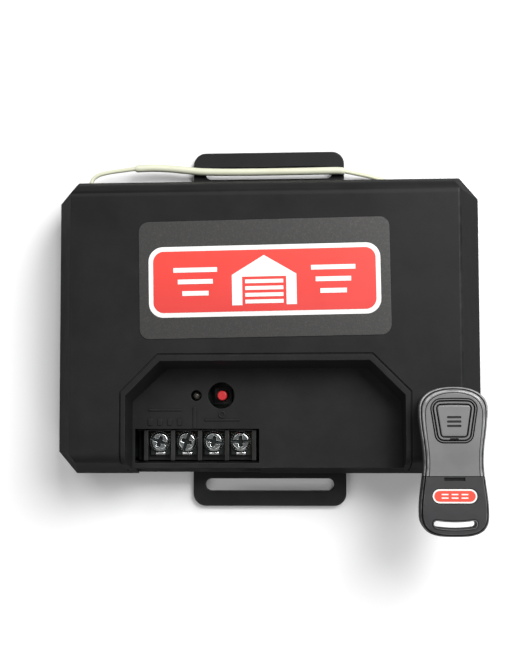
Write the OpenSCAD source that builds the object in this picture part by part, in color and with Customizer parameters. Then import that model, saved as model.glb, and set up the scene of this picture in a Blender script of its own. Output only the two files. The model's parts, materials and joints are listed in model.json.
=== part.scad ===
/* [Receiver housing] */
// Width of the housing at its base
body_w = 150.8; // [140:0.2:165]
// Height of the housing at its base, along the wall
body_h = 105.2; // [98:0.2:115]
// Width of the flat front face
front_w = 133.6; // [125:0.2:140]
// Height of the flat front face, between its rounded edges
front_h = 86.6; // [80:0.2:92]
// Radius of the rounded top and bottom front edges
edge_r = 5; // [3:0.5:7]
// Length of each cut corner along the long edge
corner_x = 6.6; // [4:0.2:9]
// Length of each cut corner along the short edge
corner_y = 7.8; // [5:0.2:11]
// Angle at which a cut corner leans inwards
corner_lean = 16; // [10:1:20]
// Thickness of the moulded walls
wall = 2.2; // [1.6:0.1:3]
// Height of the back cover's rim above the mounting face
parting_z = 11.2; // [9:0.1:13]
// Height of the front face above the mounting face
front_z = 34; // [30:0.5:40]
/* [Mounting bracket] */
// Width of the bracket
bracket_w = 55.6; // [45:0.2:70]
// Length of the bracket
bracket_l = 129.8; // [125:0.2:140]
// Thickness of the bracket
bracket_t = 2.5; // [2:0.1:3]
// Radius of the bracket's corners
bracket_r = 4.5; // [3:0.5:7]
// Distance between the two mounting slots
slot_pitch = 114.4; // [112:0.2:118]
// End-to-end length of each slot
slot_l = 46.8; // [40:0.2:48]
// Width of each slot, for a number 8 wood screw
slot_w = 4.4; // [4.3:0.1:5]
/* [Wiring bay] */
// Height of the bay's floor above the mounting face
bay_z = 22; // [20:0.5:24]
// Half-width of the bay's straight part, outside its lip
bay_half = 49; // [46:0.5:52]
// Half-width of the bay's top edge, outside its lip
bay_top_half = 36.4; // [32:0.2:40]
// Height of the bay's top edge, outside its lip
bay_top_y = -11.4; // [-14:0.2:-10]
// Width of the raised lip
lip_w = 1.5; // [1:0.1:2]
// Height of the lip above the front face
lip_h = 0.6; // [0.3:0.1:1]
// Draft of the bay's top and slanted walls
bay_draft = 2.7; // [1.5:0.1:3]
/* [Terminals] */
// Distance between terminal screws
pitch = 9.5; // [9:0.1:10]
// Place of the first terminal screw, across
screw_x = -37.7; // [-38:0.1:-36]
// Place of the terminal screws, up and down
screw_y = -41; // [-41.5:0.1:-40.5]
// Diameter of a terminal screw's head
screw_head_d = 7; // [6:0.1:7.4]
// Thread diameter of a terminal screw
screw_d = 3.4; // [3:0.1:3.5]
/* [Controls] */
// Place of the learn button and its hole, across
learn_x = -15.8; // [-18:0.1:-14]
// Place of the status light, across
led_x = -24.6; // [-27:0.1:-23]
// Place of the learn button and the light, up and down
learn_y = -25; // [-26:0.1:-23]
// Diameter of the hole round the learn button
learn_hole_d = 9.2; // [8:0.1:10]
// Diameter of the learn button's plunger
learn_d = 3.5; // [3:0.1:4]
// Diameter of the status light's hole
led_hole_d = 3.8; // [3.4:0.1:4.4]
/* [Label] */
// Width of the label
label_w = 85.6; // [70:0.2:90]
// Height of the label
label_h = 40.2; // [30:0.2:42]
// Height of the label's centre
label_y = 14.8; // [14:0.1:16]
// Turn of the label, as it was stuck on
label_turn = 0.8; // [-1:0.1:1]
// Width of the badge on the label
badge_w = 79; // [60:0.5:80]
// Height of the badge on the label
badge_h = 24.2; // [18:0.2:27]
/* [Antenna] */
// Diameter of the antenna wire
wire_d = 1.5; // [1.2:0.1:1.7]
// Diameter of the sleeve on the antenna wire
sleeve_d = 2.7; // [2:0.1:2.8]
/* [Remote] */
// Length of the remote
remote_l = 48.8; // [46:0.2:54]
// Widest width of the remote
remote_w = 22.3; // [21.5:0.1:25]
// How much narrower each side is at the waist
waist_in = 1.5; // [0.5:0.1:2]
// Thickness of the remote
remote_t = 10; // [9.5:0.1:11]
// Place of the remote's middle, across
remote_x = 62.4; // [60:0.1:66]
// Place of the remote's middle, up and down
remote_y = -47; // [-50:0.1:-44]
/* [Hidden] */
$fn = 48;
half_w = body_w / 2;
half_h = body_h / 2;
side_slope = (body_w - front_w) / 2 / (front_z - parting_z);
// A wall that is tangent to the rounded front edge, found from the base corner
run = half_h - front_h / 2;
rise = front_z - edge_r - parting_z;
wall_a = 90 - atan2(rise, run) - asin(edge_r / norm([run, rise]));
corner_at = [half_w - corner_x, half_h - corner_y];
corner_heading = atan2(corner_x, corner_y);
back_gap = 0.5;
tray_t = 2;
bay_diag_y = bay_top_y - (bay_half - bay_top_half);
boss = [65, 41];
boss_z = 12;
cover_screw_r = 1.4;
fit_gap = 0.05;
bracket_screw_at = [20, 38];
board = [116, 85, 1.6];
board_y = -4.5;
board_z = 9;
board_top = board_z + board[2];
board_screw_at = [[-52, 32], [52, 32], [-52, -28], [52, -28]];
open_x = [-46.2, -2.6];
open_y = [-48.4, -36.6];
block_base_z = 15.5;
contact_t = 0.8;
clamp_t = 1;
clamp_z = block_base_z + contact_t + 0.05;
head_t = 2.2;
head_z = clamp_z + clamp_t + 0.1;
divider_t = 1.5;
pin_y = 2.5;
label_t = 0.3;
print_t = 0.12;
badge_down = 0.8;
remote_z = front_z + 0.3;
split_z = 4.5;
seam = 0.596;
badge_drop = -11.1;
flare = 0.84;
shell_t = 1.3;
deck_z = 8.6;
button_y = 13.55;
battery_y = -11.2;
antenna_exit = [-65, 52.3, 7.6];
lead_route = [
    [-52, 37, 11.5], [-55, 41, 11.2], [-59.5, 44.5, 9.6], [-63.6, 46.6, 8], [-65, 48.4, 7.6],
    [-65, 50, 7.6], antenna_exit];
wire_route = [
    antenna_exit,
    [-65, 53.2, 7.6], [-64.2, 55, 7.5], [-62, 56.4, 7.3], [-58, 57.4, 6.9], [-54, 58, 6.5],
    [-49, 58.7, 5.9], [-42.5, 59, 5.4], [-36, 58.7, 5], [-30, 58.1, 4.7], [-23.5, 57.5, 4.6],
    [-11, 57.2, 4.6], [11, 57.2, 4.6], [24.5, 57.3, 4.6], [28, 57, 4.4], [31.5, 56.4, 3.6],
    [36, 55.7, 2.1], [42, 54.2, 1], [48, 51.6, 0.9], [55, 47.3, 0.9], [61, 41, 0.9],
    [64.5, 33, 0.9], [66, 24, 0.9], [66.5, 14, 0.9], [66, 4, 0.9], [65, -6, 0.9]];
sleeve_from = 6;
sleeve_to = 14;
dark = "#242427";

// Copies children to the four places made by mirroring x and y
module four(at) {
    for (sx = [-1, 1], sy = [-1, 1]) translate([sx * at[0], sy * at[1], 0]) children();
}

module rounded(w, h, r) {
    union() {
        square([w - 2 * r, h], center = true);
        square([w, h - 2 * r], center = true);
        for (sx = [-1, 1], sy = [-1, 1]) translate([sx * (w / 2 - r), sy * (h / 2 - r)]) circle(r);
    }
}

module stadium(l, w) {
    union() {
        square([l - w, w], center = true);
        for (sx = [-1, 1]) translate([sx * (l - w) / 2, 0]) circle(w / 2);
    }
}

// A screw that points up from its countersunk head at z = 0
module flat_screw(r, head_r, l) {
    difference() {
        union() {
            cylinder(h = head_r - r, r1 = head_r, r2 = r);
            cylinder(h = l, r = r);
        }
        for (a = [0, 90]) rotate(a) cube([head_r * 1.1, 0.5, 1.4], center = true);
    }
}

// A hole for that screw
module flat_screw_hole(r, head_r, l) {
    cylinder(h = head_r - r, r1 = head_r + fit_gap, r2 = r + fit_gap);
    translate([0, 0, -0.5]) cylinder(h = l + 0.5, r = r + fit_gap);
}

// Outline of the housing at its base, moved inwards by inset
module base_outline(inset = 0) {
    half = corner_heading / 2;
    side = [half_w - inset, corner_at[1] - inset * tan(half)];
    end = [corner_at[0] - inset * tan(45 - half), half_h - inset];
    polygon([
        [side[0], -side[1]], [side[0], side[1]], [end[0], end[1]], [-end[0], end[1]],
        [-side[0], side[1]], [-side[0], -side[1]], [-end[0], -end[1]], [end[0], -end[1]]]);
}

module side_profile(inset) {
    low = parting_z - 12;
    spread = side_slope * 12;
    base = half_w - inset / cos(atan(side_slope));
    top = base - side_slope * (front_z - inset - parting_z);
    polygon([
        [-base - spread, low], [base + spread, low], [top, front_z - inset],
        [-top, front_z - inset]]);
}

module end_profile(inset) {
    r = edge_r - inset;
    y0 = front_h / 2;
    z0 = front_z - edge_r;
    touch = [y0 + r * cos(wall_a), z0 + r * sin(wall_a)];
    low = parting_z - 12;
    foot = touch[0] + tan(wall_a) * (touch[1] - low);
    union() {
        polygon([
            [-foot, low], [foot, low], touch, [y0, z0], [y0, front_z - inset],
            [-y0, front_z - inset], [-y0, z0], [-touch[0], touch[1]]]);
        for (s = [-1, 1]) translate([s * y0, z0]) circle(r);
    }
}

// The housing's outer form, moved inwards by inset
module housing_form(inset = 0) {
    difference() {
        intersection() {
            rotate([90, 0, 0]) linear_extrude(body_h + 20, center = true) side_profile(inset);
            rotate([90, 0, 90]) linear_extrude(body_w + 20, center = true) end_profile(inset);
        }
        for (sx = [0, 1], sy = [0, 1]) mirror([sx, 0, 0]) mirror([0, sy, 0])
            translate([corner_at[0], half_h, parting_z]) rotate(corner_heading)
                rotate([0, -corner_lean, 0]) translate([-inset, -30, -30]) cube([30, 60, 80]);
    }
}

// Outline of the wiring bay: its lip's outer edge, moved outwards by grow
module bay_outline(grow = 0, draft = 0) {
    k = tan(22.5);
    top = [bay_top_half + k * (grow - draft), bay_top_y + grow - draft];
    side = [bay_half + grow - draft * 0.2, bay_diag_y + k * (grow - draft) - draft * 0.5];
    polygon([[-side[0], -80], [side[0], -80], side, top, [-top[0], top[1]], [-side[0], side[1]]]);
}

// The bay's hollow, with its walls moved outwards by grow and its floor down by grow
module bay_hollow(grow = 0) {
    hull() {
        translate([0, 0, bay_z - grow]) linear_extrude(0.02) bay_outline(grow - lip_w, bay_draft);
        translate([0, 0, front_z + 3]) linear_extrude(0.02) bay_outline(grow - lip_w);
    }
}

module slab(z0, z1) {
    translate([0, 0, z0]) linear_extrude(z1 - z0) children();
}

module mounting_bracket() {
    color(dark) difference() {
        slab(0, bracket_t) rounded(bracket_w, bracket_l, bracket_r);
        for (s = [-1, 1]) translate([0, s * slot_pitch / 2, 0])
            slab(-1, bracket_t + 1) stadium(slot_l, slot_w);
        four(bracket_screw_at) flat_screw_hole(1.5, 2.9, 6);
    }
}

module bracket_screws() {
    color("silver") four(bracket_screw_at) flat_screw(1.5, 2.9, 7.4);
}

module back_cover() {
    rim_z = parting_z - 0.1;
    web_z = rim_z - 1.4;
    color(dark) difference() {
        union() {
            difference() {
                slab(bracket_t, rim_z) base_outline(back_gap);
                slab(bracket_t + wall, rim_z + 1) base_outline(back_gap + wall);
            }
            difference() {
                slab(web_z, rim_z + 2) base_outline(3.4);
                slab(web_z - 1, rim_z + 3) base_outline(4.6);
            }
            difference() {
                slab(web_z, web_z + 1) base_outline(back_gap + 1);
                slab(web_z - 1, web_z + 2) base_outline(4.6);
            }
            four(boss) slab(bracket_t, boss_z - 0.1) circle(3.6);
            four(bracket_screw_at) slab(bracket_t, 8.4) circle(3.2);
            for (p = board_screw_at) translate(p) slab(bracket_t, board_z) circle(3);
        }
        translate([0, 0, bracket_t]) four(boss) flat_screw_hole(cover_screw_r, 2.8, 12);
        four(bracket_screw_at) cylinder(h = 7.6, r = 1.5 + fit_gap);
        for (p = board_screw_at) translate([p[0], p[1], 5.4]) cylinder(h = 6, r = 1.2 + fit_gap);
        translate([antenna_exit[0], half_h, antenna_exit[2]])
            rotate([90, 0, 0]) cylinder(h = 16, r = grommet_r + fit_gap, center = true);
    }
}

// Raised marks on the bay's floor: a rib, four bars, two lines and a ring
module bay_marks() {
    mark_h = 0.4;
    slab(bay_z - 0.1, bay_z + mark_h) {
        translate([-25.1, -32.7]) square([1.3, 7.4], center = true);
        for (i = [0:3]) translate([screw_x + i * pitch * 0.36 - 3, -34.2])
            square([1.6, 2.4], center = true);
        translate([-35.4, -30]) square([12, 0.7], center = true);
        translate([-15.5, -33.5]) square([12.4, 0.7], center = true);
    }
    translate([-15.5, -31.6, bay_z - 0.1]) difference() {
        cylinder(h = mark_h + 0.1, r = 1.3);
        cylinder(h = 2, r = 0.7, center = true);
    }
}

module front_cover() {
    color(dark) difference() {
        union() {
            difference() {
                housing_form();
                housing_form(wall);
            }
            intersection() {
                housing_form();
                difference() {
                    bay_hollow(tray_t);
                    translate([0, 0, -20]) cube([200, 200, 60], center = true);
                }
            }
            intersection() {
                housing_form(-lip_h);
                difference() {
                    slab(bay_z, front_z + 2) bay_outline();
                    slab(bay_z - 1, front_z + 3) bay_outline(-lip_w - 1);
                }
            }
            intersection() {
                housing_form(0.5);
                four(boss) slab(boss_z, front_z) circle(3.6);
            }
        }
        slab(-20, parting_z) square(300, center = true);
        difference() {
            slab(bay_z - 6, front_z + 2) bay_outline(0.6);
            slab(bay_z - 7, front_z + 3) bay_outline();
            housing_form(0.5);
        }
        bay_hollow();
        translate([(open_x[0] + open_x[1]) / 2, (open_y[0] + open_y[1]) / 2, bay_z])
            cube([open_x[1] - open_x[0], open_y[1] - open_y[0], 8], center = true);
        translate([open_x[0], -half_h - 1, 0])
            cube([open_x[1] - open_x[0], half_h + open_y[0] + 1, bay_z - tray_t]);
        translate([learn_x, learn_y, bay_z]) cylinder(h = 8, d = learn_hole_d, center = true);
        translate([led_x, learn_y, bay_z]) cylinder(h = 8, d = led_hole_d, center = true);
        four(boss) slab(boss_z - 1, 26) circle(cover_screw_r + fit_gap);
    }
    color(dark) bay_marks();
}

module cover_screws() {
    color("silver") translate([0, 0, bracket_t]) four(boss) flat_screw(cover_screw_r, 2.8, 20);
}

module on_label(z0, z1) {
    translate([0, label_y, z0]) rotate(label_turn) linear_extrude(z1 - z0) children();
}

module label_plate() {
    color("#454442") on_label(front_z, front_z + label_t) rounded(label_w, label_h, 3.4);
}

module badge_border() {
    color("#e8e4dc") on_label(front_z + label_t, front_z + label_t + print_t)
        translate([0, -badge_down]) rounded(badge_w, badge_h, 5);
}

module badge_field() {
    color("#d8382f") on_label(front_z + label_t + print_t, front_z + label_t + 2 * print_t)
        translate([0, -badge_down]) rounded(badge_w - 3.2, badge_h - 3.2, 3.6);
}

// A garage with a slatted door, between two pairs of bars
module badge_symbol() {
    color("#e8e4dc") on_label(front_z + label_t + 2 * print_t, front_z + label_t + 3 * print_t)
        translate([0, -badge_down]) {
        difference() {
            polygon([[-11, -8.4], [11, -8.4], [11, 2], [0, 8.6], [-11, 2]]);
            translate([0, -3.6]) square([15, 9.8], center = true);
        }
        for (i = [0:3]) translate([0, -7.2 + i * 2.3]) square([13, 1.3], center = true);
        for (s = [-1, 1], i = [0:2]) translate([s * 23.5, 4 - i * 4])
            square([15 - i * 3, 1.6], center = true);
    }
}

module circuit_board() {
    color("#2f6b3a") difference() {
        slab(board_z, board_top) translate([0, board_y]) square([board[0], board[1]], center = true);
        for (p = board_screw_at) translate(p) slab(board_z - 1, board_top + 1) circle(1.6);
        for (i = [0:3]) translate([screw_x + i * pitch, screw_y]) slab(board_z - 1, board_top + 1) {
            circle(1.9);
            translate([0, pin_y]) square([1.4, 0.7], center = true);
        }
    }
}

module board_screws() {
    color("silver") for (p = board_screw_at) translate([p[0], p[1], board_top]) difference() {
        union() {
            cylinder(h = 1.6, r = 2.6);
            translate([0, 0, -5]) cylinder(h = 5, r = 1.2);
        }
        for (a = [0, 90]) rotate(a) translate([0, 0, 1.6]) cube([3, 0.6, 1.6], center = true);
    }
}

module terminal_block() {
    first = screw_x - pitch / 2;
    color("#161617") difference() {
        union() {
            slab(board_top, block_base_z)
                translate([first - 3.2, -47.6]) square([4 * pitch + 4, 10.9]);
            for (i = [0:4]) translate([first + i * pitch, -42.3])
                slab(board_top, 20.6) square([divider_t, 10.6], center = true);
            translate([first - 3.2, -37.4]) slab(board_top, 18.6) square([4 * pitch + 4, 0.7]);
        }
        for (i = [0:3]) translate([screw_x + i * pitch, screw_y]) {
            slab(board_z, block_base_z + 1) circle(screw_d / 2 + 0.1);
            translate([0, pin_y]) slab(board_z, block_base_z + 1) square([1.4, 0.7], center = true);
        }
    }
}

module terminal_contacts() {
    color("#c9b070") for (i = [0:3]) translate([screw_x + i * pitch, screw_y]) {
        difference() {
            slab(block_base_z, block_base_z + contact_t)
                translate([0, -1]) square([7.2, 7.6], center = true);
            slab(block_base_z - 1, block_base_z + 2) circle(screw_d / 2 + 0.1);
        }
        translate([0, pin_y]) slab(board_z - 0.5, block_base_z + 0.3) square([1.2, 0.5], center = true);
    }
}

// A square clamp plate with a hump where the wire is gripped
module clamp_plate(i) {
    color("#b9b7b0") translate([screw_x + i * pitch, screw_y]) difference() {
        union() {
            slab(clamp_z, clamp_z + clamp_t) translate([0, -1.05]) square([7, 7.5], center = true);
            translate([0, -4.2, clamp_z + clamp_t]) rotate([0, 90, 0])
                cylinder(h = 3.4, r = 0.6, center = true);
        }
        slab(clamp_z - 1, clamp_z + 4) circle(screw_d / 2 + 0.1);
    }
}

// A binding-head terminal screw with a slot and a cross
module terminal_screw(i) {
    turn = [-20, 70, -15, 0][i];
    color("#a9a79f") translate([screw_x + i * pitch, screw_y, 0]) rotate(turn) difference() {
        union() {
            slab(head_z, head_z + head_t * 0.55) circle(d = screw_head_d);
            translate([0, 0, head_z + head_t * 0.55])
                cylinder(h = head_t * 0.45, d1 = screw_head_d, d2 = screw_head_d - 1.6);
            slab(11.8, head_z + 0.5) circle(d = screw_d);
        }
        translate([0, 0, head_z + head_t]) {
            cube([screw_head_d + 1, 1.1, 2.2], center = true);
            cube([1.3, 3.8, 3], center = true);
        }
    }
}

module clamp_plate_1() { clamp_plate(0); }
module clamp_plate_2() { clamp_plate(1); }
module clamp_plate_3() { clamp_plate(2); }
module clamp_plate_4() { clamp_plate(3); }
module terminal_screw_1() { terminal_screw(0); }
module terminal_screw_2() { terminal_screw(1); }
module terminal_screw_3() { terminal_screw(2); }
module terminal_screw_4() { terminal_screw(3); }

module learn_switch() {
    color("#2a2a2c") translate([learn_x, learn_y, 0]) difference() {
        slab(board_top, board_top + 3.5) square(6, center = true);
        slab(board_top + 1.6, board_top + 4) circle(learn_d / 2 + 0.1);
    }
}

module learn_button() {
    color("#d8342c") translate([learn_x, learn_y, 0]) {
        slab(board_top + 2, 18.6) circle(d = learn_d);
        translate([0, 0, 18.6]) cylinder(h = 0.4, d1 = learn_d, d2 = learn_d - 0.8);
    }
}

module status_led() {
    color("#d9d6c8") translate([led_x, learn_y, 0]) {
        slab(15, 16) circle(1.9);
        slab(16, 18.4) circle(1.5);
        translate([0, 0, 18.4]) sphere(1.5);
        for (s = [-1, 1]) translate([s * 1.27, 0]) slab(board_top, 15.2) square(0.5, center = true);
    }
}

module relay() {
    color("#2d4f8f") translate([34, 14, board_top]) linear_extrude(15.3) rounded(19, 15.4, 0.8);
}

module voltage_regulator() {
    color("#1c1c1e") translate([8, 20, board_top]) slab(0, 15) square([10.2, 4.5], center = true);
    color("silver") translate([8, 22.9, board_top + 2]) rotate([90, 0, 0]) difference() {
        translate([-5, 0, 0]) cube([10, 15.6, 0.65]);
        translate([0, 12.6, -1]) cylinder(h = 3, r = 1.8);
    }
}

module capacitors() {
    color("#1e2a4a") for (p = [[52, 6, 4], [52, -6, 4], [18, 2, 3.2], [-6, 24, 3.2]])
        translate([p[0], p[1], board_top]) cylinder(h = 3 * p[2] + 1, r = p[2]);
}

module radio_module() {
    color("#b8b8b4") translate([-38, 20, board_top]) linear_extrude(4) rounded(24, 18, 1);
}

module microcontroller() {
    color("#19191a") translate([-8, 8, board_top]) difference() {
        slab(0.4, 3.8) square([22.8, 6.4], center = true);
        translate([-11.4, 0, 3.4]) cylinder(h = 1, r = 0.9);
    }
    color("silver") for (i = [0:8], s = [-1, 1])
        translate([-18.16 + i * 2.54, 8 + s * 3.5, board_top]) slab(0, 2.4) square([0.5, 0.6], center = true);
}

module crystal() {
    color("silver") translate([-26, 6, board_top]) linear_extrude(3.6) stadium(10.8, 4.4);
}

module tuning_coil() {
    color("#b5652b") translate([-52, 6, board_top + 2.4]) rotate([90, 0, 0]) difference() {
        cylinder(h = 7, r = 2.4, center = true);
        cylinder(h = 8, r = 1.7, center = true);
    }
}

module diodes() {
    color("#151516") for (i = [0:3]) translate([16 + i * 5, -9, board_top + 1.4])
        rotate([90, 0, 0]) cylinder(h = 5, r = 1.4, center = true);
}

module antenna_grommet() {
    color("#1a1a1b") translate([antenna_exit[0], half_h - back_gap, antenna_exit[2]])
        rotate([90, 0, 0]) difference() {
            union() {
                cylinder(h = wall + 0.1, r = grommet_r);
                translate([0, 0, wall + 0.05]) cylinder(h = 0.5, r = grommet_r + 0.5);
            }
            translate([0, 0, -2]) cylinder(h = 7, r = wire_d / 2 + 0.2);
        }
}

function unit(v) = v / norm(v);

// Catmull-Rom points through a route, steps to a span
function smooth(p, steps) = [
    for (i = [0:len(p) - 2], k = [0:steps - 1])
        let (
            t = k / steps,
            a = p[max(i - 1, 0)], b = p[i], c = p[i + 1], d = p[min(i + 2, len(p) - 1)])
        0.5 * (2 * b + (c - a) * t + (2 * a - 5 * b + 4 * c - d) * t * t
            + (3 * b - a - 3 * c + d) * t * t * t),
    p[len(p) - 1]];

// A round tube of radius r whose rings are centred on the points p
module tube(p, r, sides = 8) {
    last = len(p) - 1;
    ring = [for (i = [0:last])
        let (
            along = unit(p[min(i + 1, last)] - p[max(i - 1, 0)]),
            across = unit(cross(along, [0, 0, 1])),
            up = cross(across, along))
        for (k = [0:sides - 1])
            p[i] + r * (cos(360 * k / sides) * across + sin(360 * k / sides) * up)];
    polyhedron(
        ring,
        concat(
            [[for (k = [0:sides - 1]) k]],
            [[for (k = [0:sides - 1]) last * sides + sides - 1 - k]],
            [for (i = [0:last - 1], k = [0:sides - 1])
                let (a = i * sides + k, b = i * sides + (k + 1) % sides)
                [a, a + sides, b + sides, b]]));
}

// The wire's soldered end, inside the case
module antenna_lead() {
    color("#d8d9c0") tube(smooth(lead_route, 2), wire_d / 2);
}

module antenna_wire() {
    color("#d8d9c0") tube(smooth(wire_route, 3), wire_d / 2);
}

module antenna_sleeve() {
    route = [for (i = [sleeve_from:sleeve_to]) wire_route[i]];
    color("#d8d9c0") tube(smooth(route, 3), sleeve_d / 2);
}

function cap(t, n) = pow(max(0, 1 - pow(t, n)), 1 / n);

// Half-width of the remote at the share s of its length, from its top
function remote_half(s) =
    remote_w / 2 * (
        s < 0.15 ? cap((0.15 - s) / 0.15, 2.3) : s > flare ? cap((s - flare) / (1 - flare), 3) : 1)
    - (s > 0.15 && s < flare ? waist_in * pow(sin(180 * (s - 0.15) / (flare - 0.15)), 2) : 0);

// Outline of the remote between the shares s0 and s1 of its length, moved inwards by inset
module remote_outline(inset = 0, s0 = 0, s1 = 1) {
    steps = 44;
    span = 1 - 2 * inset / remote_l;
    side = [for (i = [0:steps])
        let (s = s0 + (s1 - s0) * (0.5 - 0.5 * cos(180 * i / steps)))
        [max(0.02, remote_half(s) * (1 - inset / (remote_w / 2))), remote_l * (0.5 - s) * span]];
    polygon(concat(side, [for (i = [steps:-1:0]) [-side[i][0], side[i][1]]]));
}

module remote_at() {
    translate([remote_x, remote_y, remote_z]) children();
}

// A rounded trapezoid, wider at its top
module pad_outline(top, bottom, y_top, y_bottom, r) {
    hull() for (s = [-1, 1]) {
        translate([s * (top - r), y_top - r]) circle(r, $fn = 32);
        translate([s * (bottom - r), y_bottom + r]) circle(r, $fn = 32);
    }
}

module key_loop() {
    translate([0, -20.8]) stadium(14.4, 3.6);
}

// The remote's front, cut at its seam, as a stepped solid
module remote_front_form(s0, s1) {
    slab(split_z, remote_t - 1.3) remote_outline(0, s0, s1);
    slab(remote_t - 1.4, remote_t) remote_outline(1.5, s0 == 0 ? 0 : s0 - 0.01, s1);
}

module remote_front_shell() {
    top_y = remote_l / 2;
    seam_y = remote_l * (0.5 - seam);
    color("#5a5a5c") remote_at() difference() {
        union() {
            difference() {
                intersection() {
                    remote_front_form(0, 0.64);
                    translate([-20, seam_y + 0.1, 0]) cube([40, 40, 20]);
                }
                intersection() {
                    slab(split_z - 1, deck_z) remote_outline(shell_t);
                    translate([-20, seam_y + 1.2, 0]) cube([40, 40, 20]);
                }
            }
            translate([0, -1.4]) slab(split_z, deck_z + 0.2) circle(2.2);
        }
        slab(remote_t - 1, remote_t + 1) difference() {
            pad_outline(7.9, 6.7, 20.8, 6, 2.4);
            pad_outline(6.6, 5.45, 19.6, 7.05, 2);
        }
        slab(split_z, remote_t + 1) pad_outline(5.7, 4.65, 18.95, 8.65, 1.7);
        slab(split_z, remote_t + 1) translate([0, 7.85]) square([3.4, 1], center = true);
        translate([0, -1.4]) slab(split_z - 1, deck_z - 0.6) circle(0.9 + fit_gap);
    }
}

module remote_back_shell() {
    color("#4a4a4c") remote_at() difference() {
        union() {
            difference() {
                slab(0, split_z - 0.1) remote_outline();
                intersection() {
                    slab(1.3, split_z) remote_outline(shell_t);
                    translate([-20, -17.6, 0]) cube([40, 60, 20]);
                }
            }
            translate([0, -1.4]) slab(0.5, split_z - 0.1) circle(2.2);
            for (s = [-1, 1]) translate([s * 7, 12]) slab(0.5, 2.9) circle(0.9);
        }
        slab(-1, split_z + 1) key_loop();
        translate([0, -1.4]) flat_screw_hole(0.9, 1.8, 6);
    }
}

module remote_battery_cover() {
    seam_y = remote_l * (0.5 - seam);
    color("#4f4f51") remote_at() difference() {
        intersection() {
            remote_front_form(seam - 0.05, 1);
            translate([-20, seam_y - 30.1, 0]) cube([40, 30, 20]);
        }
        intersection() {
            slab(split_z - 1, deck_z) remote_outline(shell_t);
            translate([-20, -17.6, 0]) cube([40, seam_y + 16.4, 20]);
        }
        slab(split_z - 1, remote_t + 1) key_loop();
        translate([0, -5.5]) slab(remote_t - 0.9, remote_t + 1) square([7.2, 1.3], center = true);
        translate([0, badge_drop]) slab(remote_t - 0.3, remote_t + 1) stadium(15, 5.2);
    }
}

module remote_badge() {
    color("#6d6d70") remote_at() translate([0, badge_drop])
        slab(remote_t - 0.3, remote_t + 0.1) stadium(14.4, 4.6);
}

module remote_button() {
    color("#505052") remote_at() difference() {
        union() {
            slab(deck_z - 1.2, remote_t + 0.3) pad_outline(5.25, 4.2, 18.5, 9.1, 1.4);
            slab(deck_z - 1.2, deck_z - 0.1) pad_outline(6.5, 5.3, 19.6, 8.5, 1.9);
            translate([0, button_y]) slab(6.3, deck_z - 1) circle(1.1);
        }
        for (i = [-1:1]) translate([0, button_y + 1.5 * i]) slab(remote_t - 0.2, remote_t + 1)
            stadium(4.8, 0.7);
    }
}

module remote_board() {
    color("#2f6b3a") remote_at() translate([0, 11.5]) slab(2.9, 3.7) difference() {
        square([16, 17], center = true);
        for (s = [-1, 1]) translate([s * 7, 0.5]) circle(0.5);
    }
}

module remote_switch() {
    color("#2a2a2c") remote_at() translate([0, button_y]) difference() {
        slab(3.7, 5.4) square(4.5, center = true);
        slab(4.2, 6) circle(1.3);
    }
}

module remote_plunger() {
    color("#c9c5b8") remote_at() translate([0, button_y]) slab(4.6, 6.25) circle(1.2);
}

module remote_led() {
    color("#d8473c") remote_at() translate([0, 7.3]) slab(3.7, 4.8) square([2, 1.25], center = true);
}

module remote_battery() {
    color("silver") remote_at() translate([0, battery_y]) {
        slab(1.7, 3.3) circle(6.2);
        slab(3.3, 3.7) circle(5.4);
    }
}

module remote_contacts() {
    color("#c9b070") remote_at() {
        translate([0, -2.1]) slab(1.3, 1.6) translate([4.5, -6.5]) square([3, 16], center = true);
        translate([-4.5, -2.6]) slab(3.8, 4.1) square([3, 14.4], center = true);
    }
}

module remote_screw() {
    color("silver") remote_at() translate([0, -1.4]) flat_screw(0.9, 1.8, 7.6);
}

mounting_bracket();
bracket_screws();
back_cover();
front_cover();
cover_screws();
label_plate();
badge_border();
badge_field();
badge_symbol();
circuit_board();
board_screws();
terminal_block();
terminal_contacts();
clamp_plate_1();
clamp_plate_2();
clamp_plate_3();
clamp_plate_4();
terminal_screw_1();
terminal_screw_2();
terminal_screw_3();
terminal_screw_4();
learn_switch();
learn_button();
status_led();
relay();
voltage_regulator();
capacitors();
radio_module();
microcontroller();
crystal();
tuning_coil();
diodes();
antenna_grommet();
antenna_lead();
antenna_wire();
antenna_sleeve();
remote_front_shell();
remote_back_shell();
remote_battery_cover();
remote_button();
remote_badge();
remote_board();
remote_switch();
remote_plunger();
remote_led();
remote_battery();
remote_contacts();
remote_screw();
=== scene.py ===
import json
import math

import bmesh
import bpy
from mathutils import Matrix, Vector
from mathutils.geometry import area_tri, tessellate_polygon

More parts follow.
